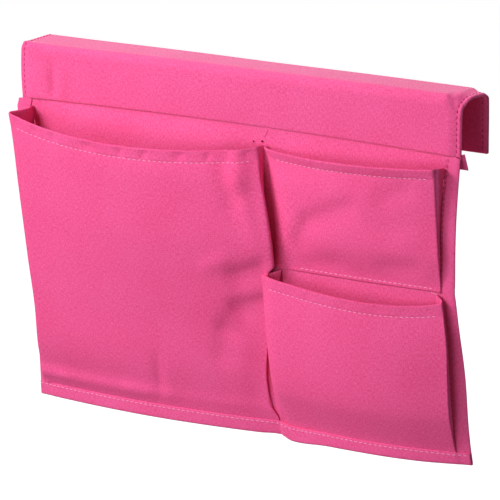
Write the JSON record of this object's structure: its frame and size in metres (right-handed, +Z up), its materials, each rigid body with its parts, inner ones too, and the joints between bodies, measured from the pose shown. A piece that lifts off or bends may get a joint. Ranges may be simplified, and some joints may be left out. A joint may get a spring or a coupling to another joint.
{
  "type": "bedside caddy",
  "caption": "Cloth bed pocket organiser that hangs over a bed rail by a stiffened inverted-U hanger, with a tall pleated pocket beside a stacked pair of smaller ones.",
  "frame": {"origin": "middle of the flat underside of the hanger's top, where it rests on the bed rail", "axes": "+X along the hanger, to the right when facing the pockets; +Y from the pockets back towards the bed; +Z up"},
  "size_m": [0.3922, 0.0705, 0.2919],
  "materials": {
    "cloth": "matt plain-weave polyester, hot pink",
    "pocket_cloth": "matt plain-weave polyester, hot pink",
    "lining": "matt plain-weave polyester, hot pink",
    "stiffener": "milky polypropylene sheet"
  },
  "bodies": {
    "hanger": {"hanger_lining": "lining", "hanger_stiffener": "stiffener", "hanger_cover": "cloth", "hanger_left_end_hem": "cloth", "hanger_right_end_hem": "cloth", "hanger_seam_flap": "cloth"},
    "panel": {"back_panel": "cloth", "left_side_hem": "cloth", "right_side_hem": "cloth", "bottom_binding": "cloth", "upper_pocket_foot_hem": "cloth", "large_pocket_left_gusset": "pocket_cloth", "large_pocket_right_gusset": "pocket_cloth", "upper_pocket_left_gusset": "pocket_cloth", "upper_pocket_right_gusset": "pocket_cloth", "lower_pocket_left_gusset": "pocket_cloth", "lower_pocket_right_gusset": "pocket_cloth"},
    "large_pocket": {"large_pocket_front": "pocket_cloth", "large_pocket_hem": "pocket_cloth"},
    "upper_pocket": {"upper_pocket_front": "pocket_cloth", "upper_pocket_hem": "pocket_cloth"},
    "lower_pocket": {"lower_pocket_front": "pocket_cloth", "lower_pocket_hem": "pocket_cloth"}
  },
  "joints": [
    {"name": "panel_fold", "type": "hinge", "parent": "hanger", "child": "panel", "pos_m": [0, -0.0187, -0.0423], "axis": [-1, 0, 0], "range_deg": [-10, 90]},
    {"name": "large_pocket_open", "type": "hinge", "parent": "panel", "child": "large_pocket", "pos_m": [-0.08, -0.003, -0.275], "axis": [1, 0, 0], "range_deg": [-2, 5], "stiffness_Nm_per_rad": 0.5, "deforming": ["large_pocket_left_gusset", "large_pocket_right_gusset"]},
    {"name": "upper_pocket_open", "type": "hinge", "parent": "panel", "child": "upper_pocket", "pos_m": [0.105, -0.0175, -0.143], "axis": [1, 0, 0], "range_deg": [-1, 8], "stiffness_Nm_per_rad": 0.1, "deforming": ["upper_pocket_left_gusset", "upper_pocket_right_gusset"]},
    {"name": "lower_pocket_open", "type": "hinge", "parent": "panel", "child": "lower_pocket", "pos_m": [0.105, -0.0045, -0.275], "axis": [1, 0, 0], "range_deg": [-2, 7], "stiffness_Nm_per_rad": 0.2, "deforming": ["lower_pocket_left_gusset", "lower_pocket_right_gusset"]}
  ]
}
